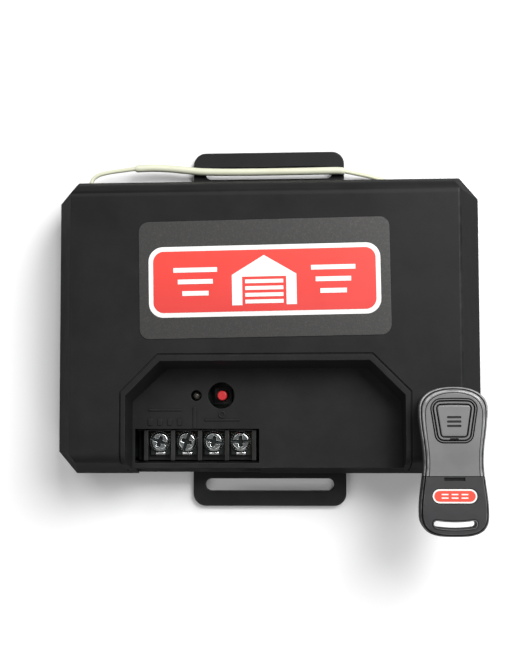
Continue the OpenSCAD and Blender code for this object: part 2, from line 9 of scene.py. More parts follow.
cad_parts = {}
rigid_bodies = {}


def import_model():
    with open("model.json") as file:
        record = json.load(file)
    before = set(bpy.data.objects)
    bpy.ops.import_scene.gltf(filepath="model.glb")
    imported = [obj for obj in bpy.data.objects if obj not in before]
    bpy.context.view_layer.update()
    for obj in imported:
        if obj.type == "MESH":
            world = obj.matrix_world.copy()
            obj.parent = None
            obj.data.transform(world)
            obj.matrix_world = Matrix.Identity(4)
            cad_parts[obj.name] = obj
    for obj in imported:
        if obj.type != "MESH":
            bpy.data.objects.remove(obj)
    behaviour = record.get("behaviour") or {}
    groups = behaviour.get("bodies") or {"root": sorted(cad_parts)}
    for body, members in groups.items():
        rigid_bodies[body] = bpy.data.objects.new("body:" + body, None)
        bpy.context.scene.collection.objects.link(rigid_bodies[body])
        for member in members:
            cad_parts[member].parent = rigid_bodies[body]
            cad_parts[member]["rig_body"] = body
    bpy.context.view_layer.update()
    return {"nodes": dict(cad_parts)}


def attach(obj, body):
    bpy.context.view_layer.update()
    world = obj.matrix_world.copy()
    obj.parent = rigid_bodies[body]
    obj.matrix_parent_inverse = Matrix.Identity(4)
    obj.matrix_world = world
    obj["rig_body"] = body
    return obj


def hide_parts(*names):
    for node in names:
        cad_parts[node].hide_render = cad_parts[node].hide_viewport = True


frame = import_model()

mm = 0.001
frontFace = 34 * mm

cameraPlan = {
    "lens": 63.6,          # on a 36 mm sensor
    "distance": 428.5,     # from the target, mm
    "toRight": 3.14,       # degrees off the front face's normal
    "toBelow": 3.73,
    "roll": -0.17,
    "target": (-1.3, -0.4, 0),
}


def placeCamera(plan):
    right, below, roll = (math.radians(plan[k]) for k in ("toRight", "toBelow", "roll"))
    back = Vector((math.sin(right) * math.cos(below), -math.sin(below),
                   math.cos(right) * math.cos(below)))
    across = Vector((math.cos(right), 0, -math.sin(right)))
    up = back.cross(across)
    turned = math.cos(roll) * across + math.sin(roll) * up
    upright = math.cos(roll) * up - math.sin(roll) * across
    data = bpy.data.cameras.new("camera")
    data.lens = plan["lens"]
    data.sensor_width = 36
    data.clip_start = 0.01
    data.clip_end = 20
    camera = bpy.data.objects.new("camera", data)
    bpy.context.scene.collection.objects.link(camera)
    place = (Vector(plan["target"]) + back * plan["distance"]) * mm
    turn = Matrix((turned, upright, back)).transposed()
    camera.matrix_world = Matrix.Translation(place) @ turn.to_4x4()
    bpy.context.scene.camera = camera


placeCamera(cameraPlan)
print("camera placed")


def addNode(tree, kind, at=(0, 0), **settings):
    node = tree.nodes.new(kind)
    node.location = at
    for name, value in settings.items():
        setattr(node, name, value)
    return node


def wire(tree, source, target):
    tree.links.new(source, target)


def mathNode(tree, operation, first, second=None, clamp=False):
    node = addNode(tree, "ShaderNodeMath", operation=operation, use_clamp=clamp)
    for socket, value in zip(node.inputs, (first, second)):
        if value is None:
            continue
        if isinstance(value, (int, float)):
            socket.default_value = value
        else:
            wire(tree, value, socket)
    return node.outputs[0]


def mixColour(tree, share, first, second):
    node = addNode(tree, "ShaderNodeMix", data_type="RGBA")
    for socket, value in ((node.inputs["Factor"], share), (node.inputs[6], first), (node.inputs[7], second)):
        if isinstance(value, (int, float)):
            socket.default_value = value
        elif isinstance(value, tuple):
            socket.default_value = (*value, 1)
        else:
            wire(tree, value, socket)
    return node.outputs[2]


def stretch(tree, value, low, high, toLow=0.0, toHigh=1.0):
    node = addNode(tree, "ShaderNodeMapRange", clamp=True)
    wire(tree, value, node.inputs["Value"])
    for name, number in (("From Min", low), ("From Max", high), ("To Min", toLow), ("To Max", toHigh)):
        node.inputs[name].default_value = number
    return node.outputs["Result"]


def newGroup(name, inputs, outputs):
    tree = bpy.data.node_groups.new(name, "ShaderNodeTree")
    for label, value in inputs.items():
        socket = tree.interface.new_socket(label, in_out="INPUT", socket_type="NodeSocketFloat")
        socket.default_value = value
    for label, kind in outputs.items():
        tree.interface.new_socket(label, in_out="OUTPUT", socket_type=kind)
    return tree, addNode(tree, "NodeGroupInput", (-800, 0)), addNode(tree, "NodeGroupOutput", (800, 0))


def objectPoint(tree):
    return addNode(tree, "ShaderNodeTexCoord", (-800, 200)).outputs["Object"]


def noise(tree, point, scale, detail=3.0, roughness=0.55):
    node = addNode(tree, "ShaderNodeTexNoise")
    wire(tree, point, node.inputs["Vector"])
    if isinstance(scale, (int, float)):
        node.inputs["Scale"].default_value = scale
    else:
        wire(tree, scale, node.inputs["Scale"])
    node.inputs["Detail"].default_value = detail
    node.inputs["Roughness"].default_value = roughness
    return node.outputs["Fac"]


def makeMouldedGrain():
    tree, given, out = newGroup("mouldedGrain", {"Grain Size": 0.2, "Sink Marks": 0.25},
                                {"Height": "NodeSocketFloat", "Mottle": "NodeSocketFloat"})
    point = objectPoint(tree)
    scale = mathNode(tree, "DIVIDE", 1 / mm, given.outputs["Grain Size"])
    pebble = addNode(tree, "ShaderNodeTexVoronoi", feature="SMOOTH_F1")
    wire(tree, point, pebble.inputs["Vector"])
    wire(tree, scale, pebble.inputs["Scale"])
    fine = noise(tree, point, scale, 2)
    sink = noise(tree, point, 32, 2)
    grain = mathNode(tree, "ADD", mathNode(tree, "MULTIPLY", pebble.outputs["Distance"], 0.6), fine)
    slow = mathNode(tree, "MULTIPLY", sink, given.outputs["Sink Marks"])
    wire(tree, mathNode(tree, "ADD", grain, slow), out.inputs["Height"])
    wire(tree, noise(tree, point, 70, 5, 0.65), out.inputs["Mottle"])
    return tree


# lightens marked edges in patches: wear on bevelled edges, and a painted highlight on the hand remote's
# marked rim faces
def makeEdgeWearAndHighlight():
    tree, given, out = newGroup("edgeWearAndHighlight", {"Amount": 0.5, "Patch Size": 6.0}, {"Mask": "NodeSocketFloat"})
    edge = addNode(tree, "ShaderNodeAttribute", attribute_name="wornAndHighlitEdge")
    point = objectPoint(tree)
    patches = noise(tree, point, mathNode(tree, "DIVIDE", 1 / mm, given.outputs["Patch Size"]), 5, 0.7)
    wornAndHighlit = stretch(tree, patches, 0.38, 0.68)
    mask = mathNode(tree, "MULTIPLY", edge.outputs["Fac"], wornAndHighlit)
    wire(tree, mathNode(tree, "MULTIPLY", mask, given.outputs["Amount"], True), out.inputs["Mask"])
    return tree


def makeSettledDust():
    tree, given, out = newGroup("settledDust", {"Amount": 0.3, "Speck Size": 0.35},
                                {"Mask": "NodeSocketFloat"})
    point = objectPoint(tree)
    facing = addNode(tree, "ShaderNodeSeparateXYZ")
    wire(tree, addNode(tree, "ShaderNodeNewGeometry").outputs["Normal"], facing.inputs[0])
    upward = stretch(tree, facing.outputs["Z"], 0.2, 0.9)
    specks = addNode(tree, "ShaderNodeTexVoronoi", feature="F1")
    wire(tree, point, specks.inputs["Vector"])
    wire(tree, mathNode(tree, "DIVIDE", 0.28 / mm, given.outputs["Speck Size"]), specks.inputs["Scale"])
    dots = stretch(tree, specks.outputs["Distance"], 0.05, 0.14, 1, 0)
    rare = stretch(tree, noise(tree, point, 160, 3), 0.55, 0.75)
    film = stretch(tree, noise(tree, point, 45, 6, 0.7), 0.35, 0.8, 0, 0.35)
    both = mathNode(tree, "ADD", mathNode(tree, "MULTIPLY", dots, rare), film)
    shown = mathNode(tree, "MULTIPLY", both, upward)
    wire(tree, mathNode(tree, "MULTIPLY", shown, given.outputs["Amount"], True), out.inputs["Mask"])
    return tree


def makeMetalFlakes():
    tree, given, out = newGroup("metalFlakes", {"Flake Size": 0.4, "Share": 0.3},
                                {"Mask": "NodeSocketFloat", "Tilt": "NodeSocketFloat"})
    point = objectPoint(tree)
    cells = addNode(tree, "ShaderNodeTexVoronoi", feature="F1")
    wire(tree, point, cells.inputs["Vector"])
    wire(tree, mathNode(tree, "DIVIDE", 1 / mm, given.outputs["Flake Size"]), cells.inputs["Scale"])
    split = addNode(tree, "ShaderNodeSeparateColor")
    wire(tree, cells.outputs["Color"], split.inputs[0])
    limit = mathNode(tree, "SUBTRACT", 1, given.outputs["Share"])
    bright = mathNode(tree, "GREATER_THAN", split.outputs[0], limit)
    wire(tree, mathNode(tree, "MULTIPLY", bright, split.outputs[1]), out.inputs["Mask"])
    wire(tree, split.outputs[2], out.inputs["Tilt"])
    return tree


def makeFineScratches():
    tree, given, out = newGroup("fineScratches", {"Amount": 0.4, "Spacing": 0.3}, {"Mask": "NodeSocketFloat"})
    point = objectPoint(tree)
    total = None
    for turn in (0.3, 1.2, 2.3):
        turned = addNode(tree, "ShaderNodeMapping")
        turned.inputs["Rotation"].default_value = (0, 0, turn)
        turned.inputs["Scale"].default_value = (0.03, 1, 1)
        wire(tree, point, turned.inputs["Vector"])
        lines = noise(tree, turned.outputs[0],
                      mathNode(tree, "DIVIDE", 1 / mm, given.outputs["Spacing"]), 2, 0.5)
        thin = stretch(tree, lines, 0.66, 0.74)
        total = thin if total is None else mathNode(tree, "MAXIMUM", total, thin)
    wire(tree, mathNode(tree, "MULTIPLY", total, given.outputs["Amount"], True), out.inputs["Mask"])
    return tree


groups = {
    "grain": makeMouldedGrain(),
    "wearAndHighlight": makeEdgeWearAndHighlight(),
    "dust": makeSettledDust(),
    "flakes": makeMetalFlakes(),
    "scratches": makeFineScratches(),
}


def useGroup(tree, name, **values):
    node = addNode(tree, "ShaderNodeGroup", node_tree=groups[name])
    for label, value in values.items():
        node.inputs[label.replace("_", " ")].default_value = value
    return node


def newMaterial(name, roughness=0.5, metallic=0.0, coat=0.0, coatRoughness=0.1, ior=1.5, specular=0.5):
    material = bpy.data.materials.new(name)
    material.use_nodes = True
    tree = material.node_tree
    shader = tree.nodes["Principled BSDF"]
    shader.inputs["Roughness"].default_value = roughness
    shader.inputs["Metallic"].default_value = metallic
    shader.inputs["Coat Weight"].default_value = coat
    shader.inputs["Coat Roughness"].default_value = coatRoughness
    shader.inputs["IOR"].default_value = ior
    shader.inputs["Specular IOR Level"].default_value = specular
    return material, tree, shader


def bumpFrom(tree, shader, height, depth, strength=1.0):
    bump = addNode(tree, "ShaderNodeBump")
    bump.inputs["Strength"].default_value = strength
    bump.inputs["Distance"].default_value = depth
    wire(tree, height, bump.inputs["Height"])
    wire(tree, bump.outputs["Normal"], shader.inputs["Normal"])


def mouldedPlastic(name, look):
    material, tree, shader = newMaterial(name, specular=look.get("specular", 0.5))
    grain = useGroup(tree, "grain", Grain_Size=look["grain"], Sink_Marks=look.get("sink", 0.25))
    wearAndHighlight = useGroup(tree, "wearAndHighlight", Amount=look.get("wearAndHighlight", 0.4), Patch_Size=6)
    dust = useGroup(tree, "dust", Amount=look.get("dust", 0.15), Speck_Size=0.35)
    mottledAndShaded = mixColour(tree, stretch(tree, grain.outputs["Mottle"], 0.3, 0.7), look["dark"], look["light"])
    # faces marked for painted shade take the dark groove colour, a painted shade in grooves and recesses
    if "paintedGrooveShade" in look:
        paintedGrooveShade = addNode(tree, "ShaderNodeAttribute", attribute_name="paintedGrooveShade")
        mottledAndShaded = mixColour(tree, paintedGrooveShade.outputs["Fac"], mottledAndShaded, look["paintedGrooveShade"])
    # marked edges take the edge colour: wear on bevels, and a painted highlight on the remote's rims
    wornAndHighlit = mixColour(tree, wearAndHighlight.outputs["Mask"], mottledAndShaded, look["edge"])
    dusty = mixColour(tree, dust.outputs["Mask"], wornAndHighlit, look.get("dustColour", (0.3, 0.29, 0.27)))
    wire(tree, dusty, shader.inputs["Base Color"])
    gloss = stretch(tree, grain.outputs["Mottle"], 0.3, 0.75, *look["roughness"])
    rubbed = mathNode(tree, "SUBTRACT", gloss, mathNode(tree, "MULTIPLY", wearAndHighlight.outputs["Mask"], 0.18))
    wire(tree, mathNode(tree, "ADD", rubbed, mathNode(tree, "MULTIPLY", dust.outputs["Mask"], 0.3)),
         shader.inputs["Roughness"])
    bumpFrom(tree, shader, grain.outputs["Height"], look["depth"] * mm)
    return material


# paintedShadeHeights is the pair of heights, in mm, below which the metal is painted dark and rougher as
# painted shade, and above which it keeps its own colour
def plainMetal(name, colour, roughness, tarnish, scratch=0.4, paintedShadeHeights=None):
    material, tree, shader = newMaterial(name, metallic=1.0)
    grain = useGroup(tree, "grain", Grain_Size=0.5, Sink_Marks=0.4)
    marks = useGroup(tree, "scratches", Amount=scratch, Spacing=0.12)
    wearAndHighlight = useGroup(tree, "wearAndHighlight", Amount=0.8, Patch_Size=2)
    spots = stretch(tree, grain.outputs["Mottle"], 0.4, 0.7)
    base = mixColour(tree, spots, colour, tarnish)
    bright = mixColour(tree, wearAndHighlight.outputs["Mask"], base, tuple(min(1, c * 1.25) for c in colour))
    rough = stretch(tree, spots, 0, 1, roughness, roughness + 0.16)
    if paintedShadeHeights:
        # painted shade: the metal goes dark below the lower height and keeps its colour above the upper one
        height = addNode(tree, "ShaderNodeSeparateXYZ")
        wire(tree, objectPoint(tree), height.inputs[0])
        unshaded = stretch(tree, height.outputs["Z"], paintedShadeHeights[0] * mm, paintedShadeHeights[1] * mm)
        bright = mixColour(tree, unshaded, (0.045, 0.05, 0.05), bright)
        rough = mathNode(tree, "ADD", rough, stretch(tree, unshaded, 0, 1, 0.25, 0))
    wire(tree, bright, shader.inputs["Base Color"])
    wire(tree, mathNode(tree, "ADD", rough, mathNode(tree, "MULTIPLY", marks.outputs["Mask"], 0.2)),
         shader.inputs["Roughness"])
    bumpFrom(tree, shader, mathNode(tree, "ADD", grain.outputs["Height"], marks.outputs["Mask"]), 0.008 * mm)
    return material


plastics = {
    "housingPlastic": {
        "dark": (0.011, 0.011, 0.0118), "light": (0.015, 0.015, 0.0158),
        "edge": (0.05, 0.05, 0.052), "grain": 0.28, "depth": 0.012,
        "roughness": (0.44, 0.54), "wearAndHighlight": 0.35, "dust": 0.04, "specular": 0.14},
    "bracketPlastic": {
        "dark": (0.011, 0.011, 0.0115), "light": (0.015, 0.015, 0.0155),
        "edge": (0.07, 0.07, 0.072), "grain": 0.35, "depth": 0.02,
        "roughness": (0.48, 0.6), "wearAndHighlight": 0.5, "dust": 0.05, "specular": 0.15},
    "blockPlastic": {
        "dark": (0.008, 0.008, 0.0085), "light": (0.013, 0.013, 0.0135),
        "edge": (0.05, 0.05, 0.05), "grain": 0.3, "depth": 0.01,
        "roughness": (0.3, 0.42), "wearAndHighlight": 0.3, "dust": 0.12},
    # the groove colour is painted shade in the remote's grooves and slot lip, and the edge colour with this
    # wear amount paints a highlight on its rim
    "remotePlastic": {
        "dark": (0.15, 0.15, 0.153), "light": (0.18, 0.18, 0.184),
        "edge": (0.36, 0.36, 0.365), "grain": 0.22, "depth": 0.006,
        "roughness": (0.3, 0.4), "wearAndHighlight": 1.6, "dust": 0.05, "paintedGrooveShade": (0.006, 0.006, 0.006)},
    "remoteBackPlastic": {
        "dark": (0.03, 0.03, 0.031), "light": (0.042, 0.042, 0.043),
        "edge": (0.1, 0.1, 0.1), "grain": 0.25, "depth": 0.008,
        "roughness": (0.36, 0.46), "wearAndHighlight": 0.4, "dust": 0.05},
    # the groove colour is painted shade in the cover's grooves, notch and recess floors, and the edge colour
    # with this wear amount paints a highlight on its rim
    "coverPlastic": {
        "dark": (0.034, 0.034, 0.036), "light": (0.045, 0.045, 0.047),
        "edge": (0.19, 0.19, 0.195), "grain": 0.22, "depth": 0.006,
        "roughness": (0.3, 0.4), "wearAndHighlight": 1.6, "dust": 0.04, "paintedGrooveShade": (0.005, 0.005, 0.005)},
    # the groove colour is painted shade in the pad's grooves and bar slots
    "padPlastic": {
        "dark": (0.16, 0.16, 0.163), "light": (0.19, 0.19, 0.193),
        "edge": (0.24, 0.24, 0.245), "grain": 0.2, "depth": 0.006,
        "roughness": (0.3, 0.38), "wearAndHighlight": 0.6, "dust": 0.03, "paintedGrooveShade": (0.02, 0.02, 0.021)},
    "switchPlastic": {
        "dark": (0.02, 0.02, 0.021), "light": (0.03, 0.03, 0.031),
        "edge": (0.07, 0.07, 0.07), "grain": 0.3, "depth": 0.006,
        "roughness": (0.4, 0.5), "wearAndHighlight": 0.3, "dust": 0.08},
    "redPlastic": {
        "dark": (0.56, 0.025, 0.03), "light": (0.68, 0.035, 0.04),
        "edge": (0.8, 0.1, 0.1), "grain": 0.3, "depth": 0.005,
        "roughness": (0.28, 0.38), "wearAndHighlight": 0.3, "dust": 0.05},
    "relayPlastic": {
        "dark": (0.015, 0.05, 0.2), "light": (0.02, 0.07, 0.26),
        "edge": (0.1, 0.2, 0.4), "grain": 0.3, "depth": 0.006,
        "roughness": (0.3, 0.4), "wearAndHighlight": 0.3, "dust": 0.1},
    "capacitorSleeve": {
        "dark": (0.008, 0.014, 0.05), "light": (0.012, 0.02, 0.07),
        "edge": (0.08, 0.09, 0.14), "grain": 0.6, "depth": 0.008,
        "roughness": (0.22, 0.3), "wearAndHighlight": 0.3, "dust": 0.1},
    "plungerPlastic": {
        "dark": (0.5, 0.47, 0.4), "light": (0.6, 0.57, 0.5),
        "edge": (0.7, 0.68, 0.62), "grain": 0.3, "depth": 0.005,
        "roughness": (0.35, 0.45), "wearAndHighlight": 0.2, "dust": 0.05},
    "wireInsulation": {
        "dark": (0.62, 0.63, 0.45), "light": (0.72, 0.73, 0.56),
        "edge": (0.8, 0.8, 0.66), "grain": 0.5, "depth": 0.01,
        "roughness": (0.34, 0.46), "wearAndHighlight": 0.1, "dust": 0.12,
        "dustColour": (0.4, 0.38, 0.28)},
    "sleeveInsulation": {
        "dark": (0.66, 0.67, 0.5), "light": (0.76, 0.77, 0.61),
        "edge": (0.85, 0.85, 0.72), "grain": 0.6, "depth": 0.014,
        "roughness": (0.38, 0.5), "wearAndHighlight": 0.2, "dust": 0.12,
        "dustColour": (0.4, 0.38, 0.28)},
}
materials = {name: mouldedPlastic(name, look) for name, look in plastics.items()}
materials["zincSteel"] = plainMetal("zincSteel", (0.78, 0.79, 0.78), 0.2, (0.55, 0.57, 0.58))
# painted shade darkens the clamp plates low down and the lower rims of the screw heads
materials["clampSteel"] = plainMetal("clampSteel", (0.8, 0.81, 0.8), 0.22, (0.6, 0.6, 0.6),
                                     paintedShadeHeights=(17.4, 17.75))
materials["headZinc"] = plainMetal("headZinc", (0.86, 0.9, 0.89), 0.12, (0.62, 0.68, 0.68),
                                   paintedShadeHeights=(18.6, 19.2))
materials["toothZinc"] = plainMetal("toothZinc", (0.9, 0.92, 0.91), 0.16, (0.75, 0.77, 0.77), 0.2)
materials["contactBrass"] = plainMetal("contactBrass", (0.72, 0.56, 0.27), 0.3, (0.42, 0.3, 0.14))
materials["canSteel"] = plainMetal("canSteel", (0.66, 0.66, 0.64), 0.3, (0.48, 0.48, 0.47), 0.25)
materials["coilCopper"] = plainMetal("coilCopper", (0.72, 0.3, 0.12), 0.3, (0.4, 0.16, 0.07), 0.2)


def labelFilm():
    material, tree, shader = newMaterial("labelFilm", coat=0.25, coatRoughness=0.32)
    flakes = useGroup(tree, "flakes", Flake_Size=0.42, Share=0.35)
    fine = useGroup(tree, "flakes", Flake_Size=0.2, Share=0.4)
    grain = useGroup(tree, "grain", Grain_Size=0.3, Sink_Marks=0.1)
    wearAndHighlight = useGroup(tree, "wearAndHighlight", Amount=0.6, Patch_Size=4)
    sparkle = mathNode(tree, "ADD", mathNode(tree, "MULTIPLY", flakes.outputs["Mask"], 0.6),
                       mathNode(tree, "MULTIPLY", fine.outputs["Mask"], 0.5), True)
    base = mixColour(tree, sparkle, (0.02, 0.0195, 0.019), (0.07, 0.067, 0.063))
    wornAndHighlit = mixColour(tree, wearAndHighlight.outputs["Mask"], base, (0.14, 0.135, 0.13))
    wire(tree, wornAndHighlit, shader.inputs["Base Color"])
    wire(tree, stretch(tree, sparkle, 0, 1, 0.5, 0.34), shader.inputs["Roughness"])
    wire(tree, stretch(tree, sparkle, 0, 1, 0.0, 0.45), shader.inputs["Metallic"])
    bumpFrom(tree, shader, mathNode(tree, "ADD", grain.outputs["Height"], flakes.outputs["Tilt"]), 0.006 * mm)
    return material


def printedInk(name, colour, deep, roughness=0.4):
    material, tree, shader = newMaterial(name, coat=0.2, coatRoughness=0.25)
    grain = useGroup(tree, "grain", Grain_Size=0.35, Sink_Marks=0.15)
    wearAndHighlight = useGroup(tree, "wearAndHighlight", Amount=0.4, Patch_Size=3)
    place = addNode(tree, "ShaderNodeSeparateXYZ")
    wire(tree, objectPoint(tree), place.inputs[0])
    # the ink is darker towards the bottom: mixed towards its deep colour low down and its full colour higher
    # up
    heightRamp = stretch(tree, place.outputs["Y"], 2 * mm, 27 * mm)
    speckled = mathNode(tree, "ADD", mathNode(tree, "MULTIPLY", heightRamp, 0.8),
                        mathNode(tree, "MULTIPLY", grain.outputs["Mottle"], 0.25), True)
    base = mixColour(tree, speckled, deep, colour)
    wire(tree, mixColour(tree, wearAndHighlight.outputs["Mask"], base, (0.75, 0.7, 0.66)), shader.inputs["Base Color"])
    wire(tree, stretch(tree, grain.outputs["Mottle"], 0.3, 0.7, roughness, roughness + 0.1),
         shader.inputs["Roughness"])
    bumpFrom(tree, shader, grain.outputs["Height"], 0.006 * mm)
    return material


def solderMask():
    material, tree, shader = newMaterial("solderMask", coat=0.5, coatRoughness=0.15)
    point = objectPoint(tree)
    tracks = addNode(tree, "ShaderNodeTexBrick")
    wire(tree, point, tracks.inputs["Vector"])
    tracks.inputs["Scale"].default_value = 130
    tracks.inputs["Mortar Size"].default_value = 0.03
    grain = useGroup(tree, "grain", Grain_Size=0.4, Sink_Marks=0.2)
    base = mixColour(tree, tracks.outputs["Fac"], (0.004, 0.014, 0.007), (0.008, 0.03, 0.014))
    dull = stretch(tree, grain.outputs["Mottle"], 0.4, 0.8, 0, 0.3)
    wire(tree, mixColour(tree, dull, base, (0.006, 0.012, 0.008)), shader.inputs["Base Color"])
    wire(tree, stretch(tree, grain.outputs["Mottle"], 0.3, 0.7, 0.32, 0.45), shader.inputs["Roughness"])
    bumpFrom(tree, shader, tracks.outputs["Fac"], 0.03 * mm)
    return material


def lightLens(name, colour):
    material, tree, shader = newMaterial(name, roughness=0.12, coat=0.4, coatRoughness=0.05)
    grain = useGroup(tree, "grain", Grain_Size=0.4, Sink_Marks=0.3)
    deep = tuple(c * 0.7 for c in colour)
    wire(tree, mixColour(tree, grain.outputs["Mottle"], deep, colour), shader.inputs["Base Color"])
    wire(tree, stretch(tree, grain.outputs["Mottle"], 0.3, 0.7, 0.1, 0.2), shader.inputs["Roughness"])
    return material


materials["labelFilm"] = labelFilm()
materials["badgeRed"] = printedInk("badgeRed", (0.82, 0.052, 0.035), (0.6, 0.04, 0.036))
materials["badgeCream"] = printedInk("badgeCream", (0.86, 0.85, 0.83), (0.78, 0.77, 0.75))
materials["remoteRed"] = printedInk("remoteRed", (0.75, 0.07, 0.04), (0.75, 0.07, 0.04))
materials["solderMask"] = solderMask()
materials["clearLens"] = lightLens("clearLens", (0.09, 0.085, 0.075))
materials["darkLens"] = lightLens("darkLens", (0.012, 0.01, 0.01))
materials["redLens"] = lightLens("redLens", (0.6, 0.05, 0.04))
print("materials made:", len(materials))


def addObject(name, data, body, *replaced):
    piece = bpy.data.objects.new(name, data)
    bpy.context.scene.collection.objects.link(piece)
    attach(piece, body)
    if replaced:
        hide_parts(*replaced)
    return piece


def markFaces(mesh, label, marks, mark):
    mask = mesh.attributes.new(label, "FLOAT", "FACE")
    mask.data.foreach_set("value", [float(m == mark) for m in marks])


# smooth up to the sharp angle, in degrees, with normals that lean towards the larger faces
def shadedPiece(name, mesh, sharpAngle, weight, material, body, slot, *replaced):
    for polygon in mesh.polygons:
        polygon.use_smooth = True
    mesh.set_sharp_from_angle(angle=math.radians(sharpAngle))
    mesh.materials.append(materials[material])
    piece = addObject(name, mesh, body, *replaced)
    normals = piece.modifiers.new("faceWeightedNormals", "WEIGHTED_NORMAL")
    normals.keep_sharp = True
    normals.weight = weight


# edges that come within reach of a point to avoid are left sharp
def bevelled(source, passes, segments, avoid):
    shape = bmesh.new()
    shape.from_mesh(source)
    bmesh.ops.remove_doubles(shape, verts=shape.verts, dist=0.002 * mm)
    bmesh.ops.dissolve_limit(shape, angle_limit=math.radians(1), verts=shape.verts, edges=shape.edges)
    layer = shape.faces.layers.int.new("edgeFaces")
    for chosen, size in passes:
        reach = (1.6 * size + 0.1) * mm
        spoilt = {v for v in shape.verts if any((v.co - point).length < reach for point in avoid)}
        edges = [e for e in shape.edges
                 if len(e.link_faces) == 2 and e.is_convex and e.calc_face_angle(0) > math.radians(24)
                 and chosen(e) and not (e.link_faces[0][layer] and e.link_faces[1][layer])
                 and not spoilt.intersection(e.verts)]
        made = bmesh.ops.bevel(shape, geom=edges, offset=size * mm, offset_type="OFFSET", segments=segments,
                               profile=0.5, affect="EDGES", clamp_overlap=False, miter_outer="ARC")
        for face in made["faces"]:
            face[layer] = 1
    return shape, layer


# a face whose triangles cover more than its own area has an outline that crosses itself
def tangledPoints(shape):
    points = []
    for face in shape.faces:
        if len(face.verts) < 5:
            continue
        corners = [v.co for v in face.verts]
        covered = sum(area_tri(corners[i], corners[j], corners[k])
                      for i, j, k in tessellate_polygon([corners]))
        if covered > face.calc_area() * 1.005 + 1e-10:
            points += [v.co.copy() for v in face.verts]
    return points


def softCopy(node, width, material, slot, segments=2, wide=None):
    source = frame["nodes"][node]
    passes = [wide] if wide else []
    passes.append((lambda edge: True, width))
    avoid = []
    for attempt in range(6):
        shape, layer = bevelled(source.data, passes if attempt < 5 else [], segments, avoid)
        tangled = tangledPoints(shape)
        if not tangled or attempt == 5:
            break
        avoid += tangled
        shape.free()
    if attempt:
        print("edges of", node, "left sharp in places, or everywhere after 5 tries:", attempt)
    flags = [f[layer] for f in shape.faces]
    mesh = bpy.data.meshes.new(node + "Finished")
    shape.to_mesh(mesh)
    shape.free()
    mesh.attributes.remove(mesh.attributes["edgeFaces"])
    markFaces(mesh, "wornAndHighlitEdge", flags, 1)
    shadedPiece(node + "_finished", mesh, 40, 80, material, source["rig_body"], slot, node)


def frontSideEdge(edge):
    halfFront = 66.8 * mm
    return all(abs(abs(v.co.x) - halfFront) < 0.3 * mm and abs(v.co.z - frontFace) < 0.3 * mm
               for v in edge.verts)


finishes = {
    "front_cover": (0.2, "housingPlastic", "housing_plastic"),
    "back_cover": (0.3, "housingPlastic", "housing_plastic"),
    "mounting_bracket": (0.35, "bracketPlastic", "bracket_plastic"),
    "terminal_block": (0.18, "blockPlastic", "black_part"),
    "label_plate": (0.1, "labelFilm", "label"),
    "learn_button": (0.15, "redPlastic", "red_part"),
    "learn_switch": (0.12, "switchPlastic", "black_part"),
    "relay": (0.25, "relayPlastic", "relay_case"),
    "radio_module": (0.2, "canSteel", "steel"),
    "crystal": (0.3, "canSteel", "steel"),
    "remote_back_shell": (0.3, "remoteBackPlastic", "remote_plastic"),
}
for i in range(1, 5):
    finishes["terminal_screw_%d" % i] = (0.12, "headZinc", "steel")
    finishes["clamp_plate_%d" % i] = (0.14, "clampSteel", "steel")
wideEdges = {"front_cover": (frontSideEdge, 0.9)}
for node, (width, material, slot) in finishes.items():
    softCopy(node, width, material, slot, wide=wideEdges.get(node))
print("finished copies:", len(finishes))

# the rest keep their own shape and take a material
plainNodes = {
    "bracket_screws": "zincSteel", "cover_screws": "zincSteel", "board_screws": "zincSteel",
    "badge_border": "badgeCream", "badge_field": "badgeRed", "badge_symbol": "badgeCream",
    "circuit_board": "solderMask", "terminal_contacts": "contactBrass", "status_led": "clearLens",
    "voltage_regulator": "blockPlastic", "capacitors": "capacitorSleeve", "microcontroller": "blockPlastic",
    "tuning_coil": "coilCopper", "diodes": "blockPlastic", "antenna_grommet": "blockPlastic",
    "antenna_lead": "wireInsulation", "remote_board": "solderMask", "remote_switch": "switchPlastic",
    "remote_plunger": "plungerPlastic", "remote_led": "redLens", "remote_battery": "canSteel",
    "remote_contacts": "contactBrass", "remote_screw": "zincSteel",
}
for node, material in plainNodes.items():
    piece = frame["nodes"][node]
    piece.data.materials.clear()
    piece.data.materials.append(materials[material])
print("plain nodes:", len(plainNodes))


